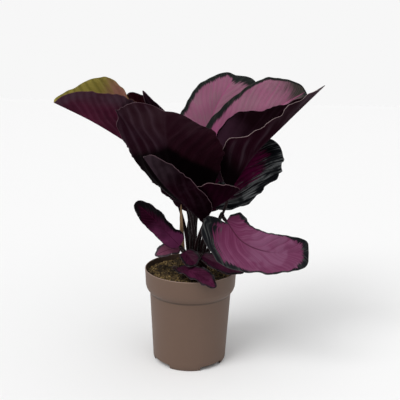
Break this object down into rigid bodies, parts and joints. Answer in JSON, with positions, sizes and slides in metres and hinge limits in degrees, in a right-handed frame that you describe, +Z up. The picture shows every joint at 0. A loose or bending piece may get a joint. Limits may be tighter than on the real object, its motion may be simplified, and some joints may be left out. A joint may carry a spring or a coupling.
{
  "type": "potted prayer plant",
  "caption": "Prayer plant with folded crimson and pink leaves edged in dark green, on thin stalks in a round tapered nursery pot of soil.",
  "frame": {"origin": "on the pot's axis, on the ground under it", "axes": "+Z up the pot's axis, -Y the front of the plant as pictured, +X to its right"},
  "size_m": [0.3361, 0.1705, 0.3764],
  "materials": {
    "pot_plastic": "smooth matt taupe plastic",
    "potting_soil": "coarse damp peat and coir",
    "leaf": "satin leaf, pink above with a dark green edge and burgundy below",
    "stalk": "dark maroon leaf stalk, satin",
    "dry_sheath": "dry papery tan"
  },
  "bodies": {
    "root": {"pot": "pot_plastic", "soil": "potting_soil", "front_leaf": "leaf", "front_stalk": "stalk", "front_flap_leaf": "leaf", "front_flap_stalk": "stalk", "left_wavy_leaf": "leaf", "left_wavy_stalk": "stalk", "front_small_leaf": "leaf", "front_small_stalk": "stalk", "left_green_leaf": "leaf", "left_green_stalk": "stalk", "pointed_leaf": "leaf", "pointed_stalk": "stalk", "rounded_leaf": "leaf", "rounded_stalk": "stalk", "back_leaf": "leaf", "back_stalk": "stalk", "right_pink_leaf": "leaf", "right_pink_stalk": "stalk", "right_folded_leaf": "leaf", "right_folded_stalk": "stalk", "right_dark_leaf": "leaf", "right_dark_stalk": "stalk", "hanging_leaf": "leaf", "hanging_stalk": "stalk", "lower_left_leaf": "leaf", "lower_left_stalk": "stalk", "soil_left_leaf": "leaf", "soil_left_stalk": "stalk", "soil_centre_leaf": "leaf", "soil_centre_stalk": "stalk", "soil_front_leaf": "leaf", "soil_front_stalk": "stalk", "soil_right_leaf": "leaf", "soil_right_stalk": "stalk", "rear_left_leaf": "leaf", "rear_left_stalk": "stalk", "rear_right_leaf": "leaf", "rear_right_stalk": "stalk", "dry_sheath": "dry_sheath"}
  },
  "joints": []
}
